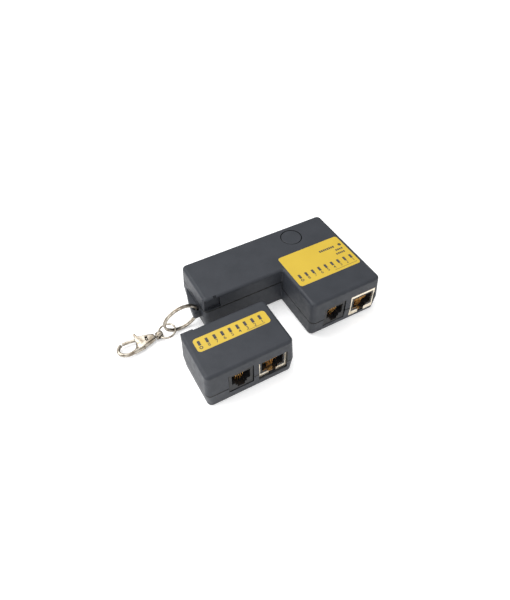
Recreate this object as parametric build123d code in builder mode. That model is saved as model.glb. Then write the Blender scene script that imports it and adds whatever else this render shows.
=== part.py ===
from build123d import *
import math
import os

# Pocket network cable tester: an L-shaped main unit, a remote unit that docks in its notch,
# and a key chain on the main unit's ear. Millimetres, +Z up, standing as it lies on a table.
# The origin is on the underside of the main unit's block, at the block's middle.

# Driving dimensions of the main unit
LENGTH = 91.0
DEPTH = 60.1
HEIGHT = 25.0
BLOCK_LENGTH = 43.5
ARM_DEPTH = 30.2
WALL = 1.8
ROOF = 1.8
FLOOR = 1.6
CORNER = 2.8
NOTCH_CORNER = 0.6
TOP_ROUND = 1.7
FOOT_ROUND = 1.6
BLOCK_SEAM = 10.2
ARM_SEAM = 15.5
SEAM_GAP = 0.3

# Both units swell to their seam: how far the outer walls stand out at the foot, seam and top
SIDE_SWELL = (0.2, 1.0, 0.25)
FRONT_SWELL = (0.4, 1.3, 0.6)
SWELL_HEIGHTS = (0.0, 10.2, 25.0)

# Edges of the main unit's plan
BLOCK_RIGHT = BLOCK_LENGTH / 2
BLOCK_LEFT = -BLOCK_LENGTH / 2
ARM_LEFT = BLOCK_RIGHT - LENGTH
FRONT = -DEPTH / 2
BACK = DEPTH / 2
ARM_FRONT = BACK - ARM_DEPTH

# Remote unit, at the place where it lies beside the main unit
REMOTE_LENGTH = 47.1
REMOTE_DEPTH = 30.1
REMOTE_LEFT = ARM_LEFT - 19.8
REMOTE_FRONT = FRONT - 13.6
REMOTE_RIGHT = REMOTE_LEFT + REMOTE_LENGTH
REMOTE_BACK = REMOTE_FRONT + REMOTE_DEPTH
TAB_LENGTH = 7.2
TAB_PROUD = 1.0
TAB_BOTTOM = 16.6
TAB_TOP = 23.4

# Circuit boards and sockets
BOARD = 1.6
MAIN_BOARD_UNDER = 18.0
REMOTE_BOARD_UNDER = 19.8
SHIELD_WIDTH = 16.1
SHIELD_HEIGHT = 14.8
SHIELD_DEPTH = 21.0
SHEET = 0.3
PHONE_WIDTH = 13.6
PHONE_HEIGHT = 13.6
PHONE_DEPTH = 18.0
MAIN_NET_X = 11.7
MAIN_PHONE_X = -6.9
REMOTE_NET_X = REMOTE_LEFT + 35.7
REMOTE_PHONE_X = REMOTE_LEFT + 17.7
MAIN_NET_FACE = FRONT - 0.75
REMOTE_NET_FACE = REMOTE_FRONT + 0.2
PHONE_PROUD = 0.6
LIP = 0.1
SOCKET_PLAY = 0.12
REMOTE_LIP_TOP = 18.4

# Labels, lamps and button
LABEL_THICK = 0.15
LAMP_COUNT = 9
LAMP_PITCH = 4.21
MAIN_LAMP_Y = FRONT + 20.9
REMOTE_LAMP_Y = REMOTE_FRONT + 20.2
REMOTE_LAMP_MIDDLE = REMOTE_LEFT + 22.7
MAIN_LAMP_MIDDLE = 0.5
POWER_LAMP = (17.45, 1.95)
POWER_LAMP_RADIUS = 0.85
POWER_LAMP_HOLE = 1.0
BUTTON = (-3.45, 20.85)
BUTTON_RADIUS = 5.95
BUTTON_GAP = 0.45
BUTTON_TRAVEL = 0.5

# Battery, lying in the arm
BATTERY_LEFT = -61.9
BATTERY_BODY = 46.4
BATTERY_DEPTH = 26.2
BATTERY_HEIGHT = 17.5
BATTERY_UNDER = 3.0
BATTERY_RIGHT = BATTERY_LEFT + BATTERY_BODY
BATTERY_Y = (ARM_FRONT + BACK) / 2

# Key chain: the ear and its hole, the standing split ring and what hangs on it
EAR_UNDER = 8.0
EAR_TOP = 12.8
EAR_HOLE = (ARM_LEFT - 1.9, FRONT + 38.3)
EAR_HOLE_RADIUS = 2.3
RING_RADIUS = 9.9
RING_SECTION = (1.5, 1.8)
RING_TURN = 3.7
RING_LEAN = 9.4
RING_CENTRE = (ARM_LEFT - 11.9, FRONT + 37.0, 10.9)
LINK_RADIUS = 4.7
LINK_WIRE = 1.1
CHAIN_Y = FRONT + 38.9
CHAIN_Z = 2.25
EYE_X = ARM_LEFT - 25.2
EYE_RADIUS = 2.2
EYE_HALF = 2.0
LINK_END_Z = 3.5
NECK = 0.9
HOOK_TAIL = ARM_LEFT - 28.0
HOOK_HALF = 1.7
LOOP_CENTRE = (ARM_LEFT - 43.2, FRONT + 38.4)
LOOP_OUTER = (6.3, 5.2)
LOOP_INNER = (4.5, 3.25)
GATE_PIVOT = (ARM_LEFT - 36.3, FRONT + 41.0)
GATE_HALF = 1.0

os.makedirs("parts", exist_ok=True)


def save(part, name):
    part.label = name
    export_step(part, "parts/" + name + ".step")


def main_plan(height, inset, radius):
    """The main unit's L, pulled in all round, at one height."""
    left, right = ARM_LEFT + inset, BLOCK_RIGHT - inset
    front, back = FRONT + inset, BACK - inset
    corner_x, corner_y = BLOCK_LEFT + inset, ARM_FRONT + inset
    with BuildSketch(Plane.XY.offset(height)) as plan:
        with BuildLine():
            Polyline(
                (left, corner_y), (corner_x, corner_y), (corner_x, front),
                (right, front), (right, back), (left, back), close=True,
            )
        make_face()
        fillet(plan.vertices(), radius)
    return plan.sketch


def swollen_main(height, side, front):
    """The main unit's outline with its outer walls moved out; the notch's two walls stay."""
    with BuildSketch(Plane.XY.offset(height)) as outline:
        with BuildLine():
            Polyline(
                (ARM_LEFT - side, ARM_FRONT), (BLOCK_LEFT, ARM_FRONT), (BLOCK_LEFT, FRONT - front),
                (BLOCK_RIGHT + side, FRONT - front), (BLOCK_RIGHT + side, BACK + side),
                (ARM_LEFT - side, BACK + side), close=True,
            )
        make_face()
        notch = outline.vertices().sort_by_distance((BLOCK_LEFT, ARM_FRONT, height))[0]
        fillet([corner for corner in outline.vertices() if corner != notch], CORNER)
        notch = outline.vertices().sort_by_distance((BLOCK_LEFT, ARM_FRONT, height))[0]
        fillet(notch, NOTCH_CORNER)
    return outline.sketch


def swollen_remote(height, side, front):
    """The remote unit's outline with its outer walls moved out; the wall that docks stays."""
    left, right = REMOTE_LEFT - side, REMOTE_RIGHT + side
    return box_plan(left, right, REMOTE_FRONT - front, REMOTE_BACK, height, CORNER)


def remote_plan(height, inset, radius):
    """The remote unit's rectangle, pulled in all round, at one height."""
    middle_x = (REMOTE_LEFT + REMOTE_RIGHT) / 2
    middle_y = (REMOTE_FRONT + REMOTE_BACK) / 2
    with BuildSketch(Plane.XY.offset(height)) as plan:
        with Locations((middle_x, middle_y)):
            RectangleRounded(REMOTE_LENGTH - 2 * inset, REMOTE_DEPTH - 2 * inset, radius)
    return plan.sketch


def box_plan(x0, x1, y0, y1, height, radius=0.0):
    """A rectangle between two corners, at one height."""
    with BuildSketch(Plane.XY.offset(height)) as plan:
        with Locations(((x0 + x1) / 2, (y0 + y1) / 2)):
            if radius > 0:
                RectangleRounded(x1 - x0, y1 - y0, radius)
            else:
                Rectangle(x1 - x0, y1 - y0)
    return plan.sketch


def front_plan(x0, x1, z0, z1, y):
    """A rectangle standing up, facing the front, at one depth."""
    with BuildSketch(Plane.XZ.offset(-y)) as plan:
        with Locations(((x0 + x1) / 2, (z0 + z1) / 2)):
            Rectangle(x1 - x0, z1 - z0)
    return plan.sketch


def disc_plan(x, y, height, radius):
    with BuildSketch(Plane.XY.offset(height)) as plan:
        with Locations((x, y)):
            Circle(radius)
    return plan.sketch


def slab(x0, x1, y0, y1, z0, z1, radius=0.0):
    """A plain plate between two heights, for cutting or adding."""
    with BuildPart() as plate:
        extrude(box_plan(x0, x1, y0, y1, z0, radius), amount=z1 - z0)
    return plate.part


def post(x, y, z0, z1, radius):
    with BuildPart() as column:
        extrude(disc_plan(x, y, z0, radius), amount=z1 - z0)
    return column.part


# ---------------------------------------------------------------- sockets


def net_opening(x, bottom, y):
    """The stepped mouth of a network socket: plug, then two steps of latch slot below."""
    with BuildSketch(Plane.XZ.offset(-y)) as mouth:
        with Locations((x, bottom + 8.4)):
            Rectangle(12.2, 7.8)
        with Locations((x, bottom + 3.6)):
            Rectangle(6.3, 2.2)
        with Locations((x, bottom + 1.3)):
            Rectangle(4.1, 2.8)
    return mouth.sketch


def phone_opening(x, bottom, y):
    """The stepped mouth of a telephone socket."""
    with BuildSketch(Plane.XZ.offset(-y)) as mouth:
        with Locations((x, bottom + 8.5)):
            Rectangle(10.0, 6.8)
        with Locations((x, bottom + 4.3)):
            Rectangle(6.2, 2.0)
        with Locations((x, bottom + 2.5)):
            Rectangle(4.0, 2.2)
    return mouth.sketch


def net_shield(x, bottom, face):
    """Folded sheet can of a network socket, open at the back."""
    half = SHIELD_WIDTH / 2
    top = bottom + SHIELD_HEIGHT
    with BuildPart() as can:
        extrude(box_plan(x - half, x + half, face, face + SHIELD_DEPTH, bottom), amount=SHIELD_HEIGHT)
        fillet(can.edges().filter_by(Axis.Y), 0.5)
        left, right = x - half + SHEET, x + half - SHEET
        hollow = front_plan(left, right, bottom + SHEET, top - SHEET, face + SHEET)
        extrude(hollow, amount=-SHIELD_DEPTH, mode=Mode.SUBTRACT)
        extrude(net_opening(x, bottom, face - 1), amount=-2.0, mode=Mode.SUBTRACT)
    return can.part


def net_insert(x, bottom, face):
    """Black moulding inside the can, with the plug's cavity."""
    half = SHIELD_WIDTH / 2 - SHEET - 0.05
    low = bottom + SHEET + 0.05
    high = bottom + SHIELD_HEIGHT - SHEET - 0.05
    start = face + SHEET + 0.05
    with BuildPart() as block:
        extrude(front_plan(x - half, x + half, low, high, start), amount=-(SHIELD_DEPTH - 0.6))
        extrude(net_opening(x, bottom, face - 1), amount=-(1 + 14.5), mode=Mode.SUBTRACT)
        comb = front_plan(x - 4.6, x + 4.6, bottom + 12.1, bottom + 13.4, start - 1)
        extrude(comb, amount=-(1 + 9.0), mode=Mode.SUBTRACT)
    return block.part


def phone_housing(x, bottom, face):
    """One-piece moulding of a telephone socket."""
    half = PHONE_WIDTH / 2
    with BuildPart() as block:
        outside = front_plan(x - half, x + half, bottom, bottom + PHONE_HEIGHT, face)
        extrude(outside, amount=-PHONE_DEPTH)
        chamfer(block.faces().sort_by(Axis.Y)[0].edges(), 0.25)
        extrude(phone_opening(x, bottom, face - 1), amount=-(1 + 13.0), mode=Mode.SUBTRACT)
        comb = front_plan(x - 3.0, x + 3.0, bottom + 11.7, bottom + 12.8, face + 0.8)
        extrude(comb, amount=-8.0, mode=Mode.SUBTRACT)
    return block.part


def spring_wires(x, roof, start, count, pitch, wire, reach, drop):
    """A row of gilt contact wires that hang back and down from under the roof of a cavity."""
    first = x - pitch * (count - 1) / 2
    with BuildPart() as wires:
        for index in range(count):
            side = first + pitch * index - wire / 2
            with BuildSketch(Plane.YZ.offset(side)):
                with BuildLine():
                    Polyline(
                        (start, roof), (start + 1.2, roof), (start + reach, roof - drop),
                        (start + reach - 0.4, roof - drop - 0.3), (start + 1.0, roof - wire),
                        (start, roof - wire), close=True,
                    )
                make_face()
            extrude(amount=wire)
    return wires.part


# ---------------------------------------------------------------- shells


def seam_cut(inset):
    """Everything above the main unit's stepped seam, as one block to cut or keep with."""
    far = 30.0
    step_x = BLOCK_LEFT - SEAM_GAP + inset
    high = 2 * HEIGHT
    with BuildPart() as above:
        add(slab(step_x, BLOCK_RIGHT + far, FRONT - far, BACK + far, BLOCK_SEAM + inset, high))
        add(slab(ARM_LEFT - far, step_x + 1, FRONT - far, BACK + far, ARM_SEAM + inset, high))
    return above.part


MAIN_SCREWS = [(-17.3, -25.5), (17.2, 25.5), (5.5, 25.5), (ARM_LEFT + 3.8, BACK - 3.8)]
COVER_SCREW = (ARM_LEFT + 4.3, BATTERY_Y)
BOSS = 2.3
SCREW = 1.1
SCREW_HEAD = 1.8
HEAD_TOP = 7.5

LIP_HEIGHT = 1.0
LIP_PLAY = 0.06
LIP_CORNER = 1.2
HOLLOW_CORNER = 0.6
main_above = seam_cut(0)
main_above_gap = seam_cut(SEAM_GAP)
main_above_lip = seam_cut(SEAM_GAP + LIP_HEIGHT)
main_above_rebate = seam_cut(SEAM_GAP + LIP_HEIGHT + 0.1)

with BuildPart() as main_body:
    loft([swollen_main(*level) for level in zip(SWELL_HEIGHTS, SIDE_SWELL, FRONT_SWELL)], ruled=True)
    fillet(main_body.faces().sort_by(Axis.Z)[-1].edges(), TOP_ROUND)
    fillet(main_body.faces().sort_by(Axis.Z)[0].edges(), FOOT_ROUND)

with BuildPart() as main_hollow:
    extrude(main_plan(FLOOR, WALL, HOLLOW_CORNER), amount=HEIGHT - FLOOR - ROOF)

# lip of the bottom shell, and the rebate in the top shell that it stands in
with BuildPart() as main_lip:
    extrude(main_plan(BLOCK_SEAM - LIP_HEIGHT, WALL / 2, LIP_CORNER), amount=HEIGHT)
    add(main_hollow.part, mode=Mode.SUBTRACT)
    add(main_above_lip, mode=Mode.SUBTRACT)

with BuildPart() as main_rebate:
    extrude(main_plan(-1, WALL / 2 - LIP_PLAY, LIP_CORNER), amount=HEIGHT)
    add(main_above_rebate, mode=Mode.SUBTRACT)


def socket_cuts(net_x, net_bottom, phone_x, phone_bottom, face, lip_top):
    """What the two sockets take out of a shell's front wall."""
    left = net_x - SHIELD_WIDTH / 2 - SOCKET_PLAY
    right = net_x + SHIELD_WIDTH / 2 + SOCKET_PLAY
    bottom = net_bottom - SOCKET_PLAY
    top = net_bottom + SHIELD_HEIGHT + SOCKET_PLAY
    phone_left = phone_x - PHONE_WIDTH / 2 - SOCKET_PLAY
    phone_right = phone_x + PHONE_WIDTH / 2 + SOCKET_PLAY
    phone_top = phone_bottom + PHONE_HEIGHT + SOCKET_PLAY
    with BuildPart() as cuts:
        extrude(front_plan(left, right, bottom, min(top, lip_top), face - 2), amount=-6)
        extrude(front_plan(left, right, bottom, top, face + LIP), amount=-4)
        phone = front_plan(phone_left, phone_right, phone_bottom - SOCKET_PLAY, phone_top, face - 2)
        extrude(phone, amount=-6)
    return cuts.part


main_net_bottom = MAIN_BOARD_UNDER - 0.05 - SHIELD_HEIGHT
main_phone_bottom = MAIN_BOARD_UNDER - 0.05 - PHONE_HEIGHT
remote_net_bottom = REMOTE_BOARD_UNDER - 0.05 - SHIELD_HEIGHT
remote_phone_bottom = REMOTE_BOARD_UNDER - 0.05 - PHONE_HEIGHT
main_sockets = socket_cuts(
    MAIN_NET_X, main_net_bottom, MAIN_PHONE_X, main_phone_bottom, FRONT, HEIGHT
)
remote_sockets = socket_cuts(
    REMOTE_NET_X, remote_net_bottom, REMOTE_PHONE_X, remote_phone_bottom, REMOTE_FRONT, REMOTE_LIP_TOP
)


def lamp_row(middle, y, z0, z1, width, depth):
    """A row of small upright blocks, one for each lamp."""
    with BuildPart() as row:
        with BuildSketch(Plane.XY.offset(z0)):
            with Locations((middle, y)):
                with GridLocations(LAMP_PITCH, 1, LAMP_COUNT, 1):
                    Rectangle(width, depth)
        extrude(amount=z1 - z0)
    return row.part


LABEL_FLOOR = HEIGHT - LABEL_THICK
main_label_plan = box_plan(-19.95, 19.85, FRONT + 14.1, FRONT + 39.0, LABEL_FLOOR, 1.7)
remote_label_plan = box_plan(
    REMOTE_LEFT + 3.4, REMOTE_LEFT + 43.7, REMOTE_FRONT + 14.9, REMOTE_FRONT + 23.6, LABEL_FLOOR, 1.9
)
UNDER_ROOF = HEIGHT - ROOF
main_slots = lamp_row(MAIN_LAMP_MIDDLE, MAIN_LAMP_Y, UNDER_ROOF - 1, HEIGHT + 1, 1.0, 2.5)
remote_slots = lamp_row(REMOTE_LAMP_MIDDLE, REMOTE_LAMP_Y, UNDER_ROOF - 1, HEIGHT + 1, 1.0, 2.5)

BOARD_TOP = MAIN_BOARD_UNDER + BOARD
arm_x, arm_y = MAIN_SCREWS[3]
lamp_x, lamp_y = POWER_LAMP
button_x, button_y = BUTTON
cover_x, cover_y = COVER_SCREW
PILOT = SCREW + 0.03
CLEARANCE = SCREW + 0.15
HEAD_RECESS = SCREW_HEAD + 0.2

with BuildPart() as main_top_shell:
    add(main_body.part)
    add(main_hollow.part, mode=Mode.SUBTRACT)
    add(main_above_gap, mode=Mode.INTERSECT)
    for x, y in MAIN_SCREWS[:3]:
        extrude(disc_plan(x, y, BOARD_TOP + 0.05, BOSS), amount=UNDER_ROOF - BOARD_TOP + 0.5)
    extrude(disc_plan(arm_x, arm_y, ARM_SEAM + SEAM_GAP, BOSS), amount=UNDER_ROOF - ARM_SEAM)
    add(main_rebate.part, mode=Mode.SUBTRACT)
    for x, y in MAIN_SCREWS:
        extrude(disc_plan(x, y, ARM_SEAM, PILOT), amount=UNDER_ROOF - ARM_SEAM - 0.2, mode=Mode.SUBTRACT)
    add(main_sockets, mode=Mode.SUBTRACT)
    extrude(main_label_plan, amount=1, mode=Mode.SUBTRACT)
    add(main_slots, mode=Mode.SUBTRACT)
    extrude(disc_plan(lamp_x, lamp_y, UNDER_ROOF - 1, POWER_LAMP_HOLE), amount=4, mode=Mode.SUBTRACT)
    button_hole = disc_plan(button_x, button_y, UNDER_ROOF - 1, BUTTON_RADIUS + BUTTON_GAP)
    extrude(button_hole, amount=4, mode=Mode.SUBTRACT)
    # seat for the remote unit's tab, in the arm's notch-side wall, and a thumb nick above it
    cut_depth = 1 + TAB_PROUD + 0.3
    seat = front_plan(ARM_LEFT - 3, ARM_LEFT + 9.0, TAB_BOTTOM - 0.4, TAB_TOP + 0.4, ARM_FRONT - 1)
    extrude(seat, amount=-cut_depth, mode=Mode.SUBTRACT)
    nick = front_plan(ARM_LEFT + 5.1, ARM_LEFT + 7.1, TAB_TOP, HEIGHT + 1, ARM_FRONT - 1)
    extrude(nick, amount=-cut_depth, mode=Mode.SUBTRACT)
save(main_top_shell.part, "main_top_shell")

EAR_FRONT = FRONT + 34.9
EAR_TIP = ARM_LEFT - 5.2
EAR_ROOT = ARM_LEFT + 0.9
with BuildPart() as main_bottom_shell:
    add(main_body.part)
    add(main_hollow.part, mode=Mode.SUBTRACT)
    add(main_above, mode=Mode.SUBTRACT)
    add(main_lip.part)
    # ear for the key ring
    with BuildSketch(Plane.XY.offset(EAR_UNDER)) as ear:
        with BuildLine():
            Spline(
                (EAR_ROOT, FRONT + 58.6), (ARM_LEFT - 1.8, FRONT + 53.0),
                (ARM_LEFT - 3.9, FRONT + 45.5), (EAR_TIP, FRONT + 37.6),
            )
            Polyline(
                (EAR_TIP, FRONT + 37.6), (EAR_TIP, EAR_FRONT), (EAR_ROOT, EAR_FRONT),
                (EAR_ROOT, FRONT + 58.6),
            )
        make_face()
        fillet(ear.vertices().sort_by(Axis.Y)[:2].sort_by(Axis.X)[0], 1.3)
    extrude(amount=EAR_TOP - EAR_UNDER)
    for level in (EAR_TOP, EAR_UNDER):
        rims = main_bottom_shell.edges().filter_by_position(Axis.X, ARM_LEFT - 6, ARM_LEFT - 1.4)
        fillet(rims.filter_by_position(Axis.Z, level - 0.01, level + 0.01), 0.6)
    ear_hole = disc_plan(EAR_HOLE[0], EAR_HOLE[1], EAR_UNDER - 1, EAR_HOLE_RADIUS)
    extrude(ear_hole, amount=EAR_TOP - EAR_UNDER + 2, mode=Mode.SUBTRACT)
    # bosses, with deep recesses for the case screws' heads
    for x, y in MAIN_SCREWS[:3]:
        extrude(disc_plan(x, y, 0.2, BOSS + 0.2), amount=MAIN_BOARD_UNDER - 0.25)
        extrude(disc_plan(x, y, -1, CLEARANCE), amount=MAIN_BOARD_UNDER + 1, mode=Mode.SUBTRACT)
        extrude(disc_plan(x, y, -1, HEAD_RECESS), amount=HEAD_TOP + 1, mode=Mode.SUBTRACT)
    extrude(disc_plan(arm_x, arm_y, FLOOR, BOSS), amount=ARM_SEAM + SEAM_GAP + LIP_HEIGHT - FLOOR)
    extrude(disc_plan(arm_x, arm_y, 0, CLEARANCE), amount=ARM_SEAM + 3, mode=Mode.SUBTRACT)
    extrude(disc_plan(arm_x, arm_y, 0, HEAD_RECESS), amount=HEAD_TOP, mode=Mode.SUBTRACT)
    # boss for the battery cover's screw, tied to the end wall by a web
    web_left = ARM_LEFT + WALL - 0.3
    extrude(disc_plan(cover_x, cover_y, FLOOR + 0.1, BOSS), amount=8)
    extrude(box_plan(web_left, cover_x, cover_y - 0.8, cover_y + 0.8, FLOOR + 0.1), amount=8)
    extrude(disc_plan(cover_x, cover_y, 0, PILOT), amount=9, mode=Mode.SUBTRACT)
    # rebate and opening for the battery cover
    opening = box_plan(ARM_LEFT + 1.5, BLOCK_LEFT + 0.1, ARM_FRONT + 1.65, BACK - 1.5, -1, 1.4)
    extrude(opening, amount=1 + FLOOR + 0.1, mode=Mode.SUBTRACT)
    add(main_sockets, mode=Mode.SUBTRACT)
save(main_bottom_shell.part, "main_bottom_shell")

COVER_LEFT = ARM_LEFT + 1.7
COVER_RIGHT = BLOCK_LEFT - 0.1
GRIP_LINES = 5
with BuildPart() as battery_cover:
    extrude(box_plan(COVER_LEFT, COVER_RIGHT, ARM_FRONT + 1.85, BACK - 1.7, 0, 1.2), amount=FLOOR)
    fillet(battery_cover.faces().sort_by(Axis.Z)[0].edges(), 0.3)
    # ribs that carry the battery, a tongue over the block's floor, and grip lines
    for y in (BATTERY_Y - 8, BATTERY_Y, BATTERY_Y + 8):
        rib = box_plan(BATTERY_LEFT + 2, COVER_RIGHT - 3, y - 0.6, y + 0.6, FLOOR)
        extrude(rib, amount=BATTERY_UNDER - FLOOR - 0.05)
    add(slab(COVER_RIGHT - 2, COVER_RIGHT + 2.5, BATTERY_Y - 6, BATTERY_Y + 6, FLOOR + 0.05, FLOOR + 1.05))
    add(slab(COVER_RIGHT - 2, COVER_RIGHT, BATTERY_Y - 6, BATTERY_Y + 6, FLOOR - 0.2, FLOOR + 0.3))
    for step in range(GRIP_LINES):
        groove_x = COVER_RIGHT - 4.0 - 1.6 * step
        groove = box_plan(groove_x - 0.35, groove_x + 0.35, BATTERY_Y - 7, BATTERY_Y + 7, -0.1)
        extrude(groove, amount=0.5, mode=Mode.SUBTRACT)
    extrude(disc_plan(cover_x, cover_y, -1, CLEARANCE), amount=4, mode=Mode.SUBTRACT)
    extrude(disc_plan(cover_x, cover_y, -0.01, SCREW_HEAD + 0.15), amount=0.9, taper=42, mode=Mode.SUBTRACT)
save(battery_cover.part, "battery_cover")


def pan_screw(x, y, head_top, length):
    """A small pan-head screw pointing up, its cross-slotted head below."""
    with BuildPart() as screw:
        extrude(disc_plan(x, y, head_top - 1.5, SCREW_HEAD), amount=1.5)
        chamfer(screw.faces().sort_by(Axis.Z)[0].edges(), 0.4)
        extrude(disc_plan(x, y, head_top, SCREW), amount=length)
        chamfer(screw.faces().sort_by(Axis.Z)[-1].edges(), 0.4)
        with BuildSketch(Plane.XY.offset(head_top - 1.6)):
            with Locations((x, y)):
                Rectangle(2.4, 0.5)
                Rectangle(0.5, 2.4)
        extrude(amount=0.9, mode=Mode.SUBTRACT)
    return screw.part


def flat_screw(x, y, underside, length):
    """A countersunk screw pointing up, flush with the face below it."""
    with BuildPart() as screw:
        extrude(disc_plan(x, y, underside, SCREW), amount=length)
        with BuildSketch(Plane.XY.offset(underside)):
            with Locations((x, y)):
                Circle(SCREW_HEAD)
        extrude(amount=0.85, taper=42)
        with BuildSketch(Plane.XY.offset(underside - 0.1)):
            with Locations((x, y)):
                Rectangle(2.2, 0.5)
                Rectangle(0.5, 2.2)
        extrude(amount=0.7, mode=Mode.SUBTRACT)
    return screw.part


SHANK = UNDER_ROOF - 0.6 - HEAD_TOP
with BuildPart() as main_screws:
    for x, y in MAIN_SCREWS:
        add(pan_screw(x, y, HEAD_TOP - 0.02, SHANK))
save(main_screws.part, "main_screws")
save(flat_screw(cover_x, cover_y, 0.08, 7.5), "cover_screw")

# ---------------------------------------------------------------- battery

with BuildPart() as battery_9v:
    half = BATTERY_DEPTH / 2
    jacket = box_plan(BATTERY_LEFT, BATTERY_RIGHT, BATTERY_Y - half, BATTERY_Y + half, BATTERY_UNDER, 2.2)
    extrude(jacket, amount=BATTERY_HEIGHT)
    fillet(battery_9v.edges().filter_by(Axis.X), 0.8)
save(battery_9v.part, "battery_9v")

TERMINAL_Z = BATTERY_UNDER + BATTERY_HEIGHT / 2
with BuildPart() as battery_terminals:
    with BuildSketch(Plane.YZ.offset(BATTERY_RIGHT + 0.02)):
        with Locations((BATTERY_Y - 6.35, TERMINAL_Z)):
            Circle(2.9)
        with Locations((BATTERY_Y + 6.35, TERMINAL_Z)):
            RegularPolygon(4.0, 6)
    extrude(amount=2.1)
    with BuildSketch(Plane.YZ.offset(BATTERY_RIGHT + 0.4)):
        with Locations((BATTERY_Y + 6.35, TERMINAL_Z)):
            Circle(2.7)
    extrude(amount=3, mode=Mode.SUBTRACT)
save(battery_terminals.part, "battery_terminals")

SNAP_LEFT = BATTERY_RIGHT + 2.3
with BuildPart() as battery_snap:
    strip = box_plan(SNAP_LEFT, SNAP_LEFT + 2.6, BATTERY_Y - 12, BATTERY_Y + 12, TERMINAL_Z - 5.2, 1.0)
    extrude(strip, amount=10.4)
    fillet(battery_snap.faces().sort_by(Axis.Z)[-1].edges(), 0.3)
save(battery_snap.part, "battery_snap")

LEAD = 1.2
with BuildPart() as battery_leads:
    for y, end_x in ((BATTERY_Y - 9.0, -6.6), (BATTERY_Y - 6.0, -4.6)):
        with BuildLine() as route:
            FilletPolyline(
                (SNAP_LEFT + 2.65, y, TERMINAL_Z), (SNAP_LEFT + 4.6, y, TERMINAL_Z),
                (end_x, y, TERMINAL_Z + 1.6), (end_x, y, MAIN_BOARD_UNDER - 0.05), radius=0.8,
            )
        with BuildSketch(Plane(origin=(SNAP_LEFT + 2.65, y, TERMINAL_Z), z_dir=(1, 0, 0))):
            Circle(LEAD / 2)
        sweep(path=route.line)
save(battery_leads.part, "battery_leads")

with BuildPart() as battery_pad:
    pad_z = BATTERY_UNDER + BATTERY_HEIGHT + 0.05
    foam = box_plan(BATTERY_LEFT + 8, BATTERY_RIGHT - 8, BATTERY_Y - 9, BATTERY_Y + 9, pad_z, 1.0)
    extrude(foam, amount=UNDER_ROOF - 0.05 - pad_z)
save(battery_pad.part, "battery_pad")

# ---------------------------------------------------------------- main unit's board and what it carries

with BuildPart() as main_pcb:
    extrude(box_plan(-19.6, 19.6, FRONT + 2.2, 0.3, MAIN_BOARD_UNDER, 0.8), amount=BOARD)
    extrude(box_plan(-9.0, 19.6, 0, BACK - 2.2, MAIN_BOARD_UNDER, 0.8), amount=BOARD)
    for x, y in MAIN_SCREWS[:3]:
        extrude(disc_plan(x, y, MAIN_BOARD_UNDER - 1, SCREW + 0.2), amount=4, mode=Mode.SUBTRACT)
save(main_pcb.part, "main_pcb")

GUIDE_START = 0.75
PHONE_START = 1.0 - PHONE_PROUD
save(net_shield(MAIN_NET_X, main_net_bottom, MAIN_NET_FACE), "main_rj45_shield")
save(net_insert(MAIN_NET_X, main_net_bottom, MAIN_NET_FACE), "main_rj45_insert")
wires = spring_wires(
    MAIN_NET_X, main_net_bottom + 13.3, MAIN_NET_FACE + GUIDE_START, 8, 1.02, 0.4, 8.6, 5.4
)
save(wires, "main_rj45_contacts")
save(phone_housing(MAIN_PHONE_X, main_phone_bottom, FRONT - PHONE_PROUD), "main_rj11_housing")
wires = spring_wires(
    MAIN_PHONE_X, main_phone_bottom + 12.7, FRONT + PHONE_START, 4, 1.27, 0.45, 7.4, 4.6
)
save(wires, "main_rj11_contacts")


def lamp_strip(middle, y, board_top):
    """Nine surface lamps on the board, each with a slim head that reaches the label."""
    shoulder = UNDER_ROOF - 0.15
    with BuildPart() as lamps:
        add(lamp_row(middle, y, board_top + 0.02, shoulder, 2.2, 3.2))
        add(lamp_row(middle, y, shoulder - 0.2, HEIGHT - 0.03, 0.85, 2.3))
    return lamps.part


save(lamp_strip(MAIN_LAMP_MIDDLE, MAIN_LAMP_Y, BOARD_TOP), "main_leds")

with BuildPart() as power_led:
    extrude(disc_plan(lamp_x, lamp_y, BOARD_TOP + 0.02, 1.7), amount=UNDER_ROOF - BOARD_TOP - 0.2)
    extrude(disc_plan(lamp_x, lamp_y, UNDER_ROOF - 0.5, POWER_LAMP_RADIUS), amount=ROOF + 0.42)
    fillet(power_led.faces().sort_by(Axis.Z)[-1].edges(), 0.4)
save(power_led.part, "power_led")

with BuildPart() as main_label:
    extrude(main_label_plan, amount=LABEL_THICK)
    add(main_slots, mode=Mode.SUBTRACT)
    extrude(disc_plan(lamp_x, lamp_y, HEIGHT - 1, POWER_LAMP_HOLE), amount=2, mode=Mode.SUBTRACT)
save(main_label.part, "main_label")

# power button: a flush cap, a flange that keeps it in, and the switch's plunger that moves with it
CAP_TOP = HEIGHT - 0.02
FLANGE_TOP = UNDER_ROOF - 0.3
FLANGE_UNDER = FLANGE_TOP - 1.2
with BuildPart() as power_button:
    flange = disc_plan(button_x, button_y, FLANGE_UNDER, BUTTON_RADIUS + 0.9)
    extrude(flange, amount=FLANGE_TOP - FLANGE_UNDER)
    extrude(disc_plan(button_x, button_y, FLANGE_UNDER, BUTTON_RADIUS), amount=CAP_TOP - FLANGE_UNDER)
    fillet(power_button.faces().sort_by(Axis.Z)[-1].edges(), 0.35)
save(power_button.part, "power_button")

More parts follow.
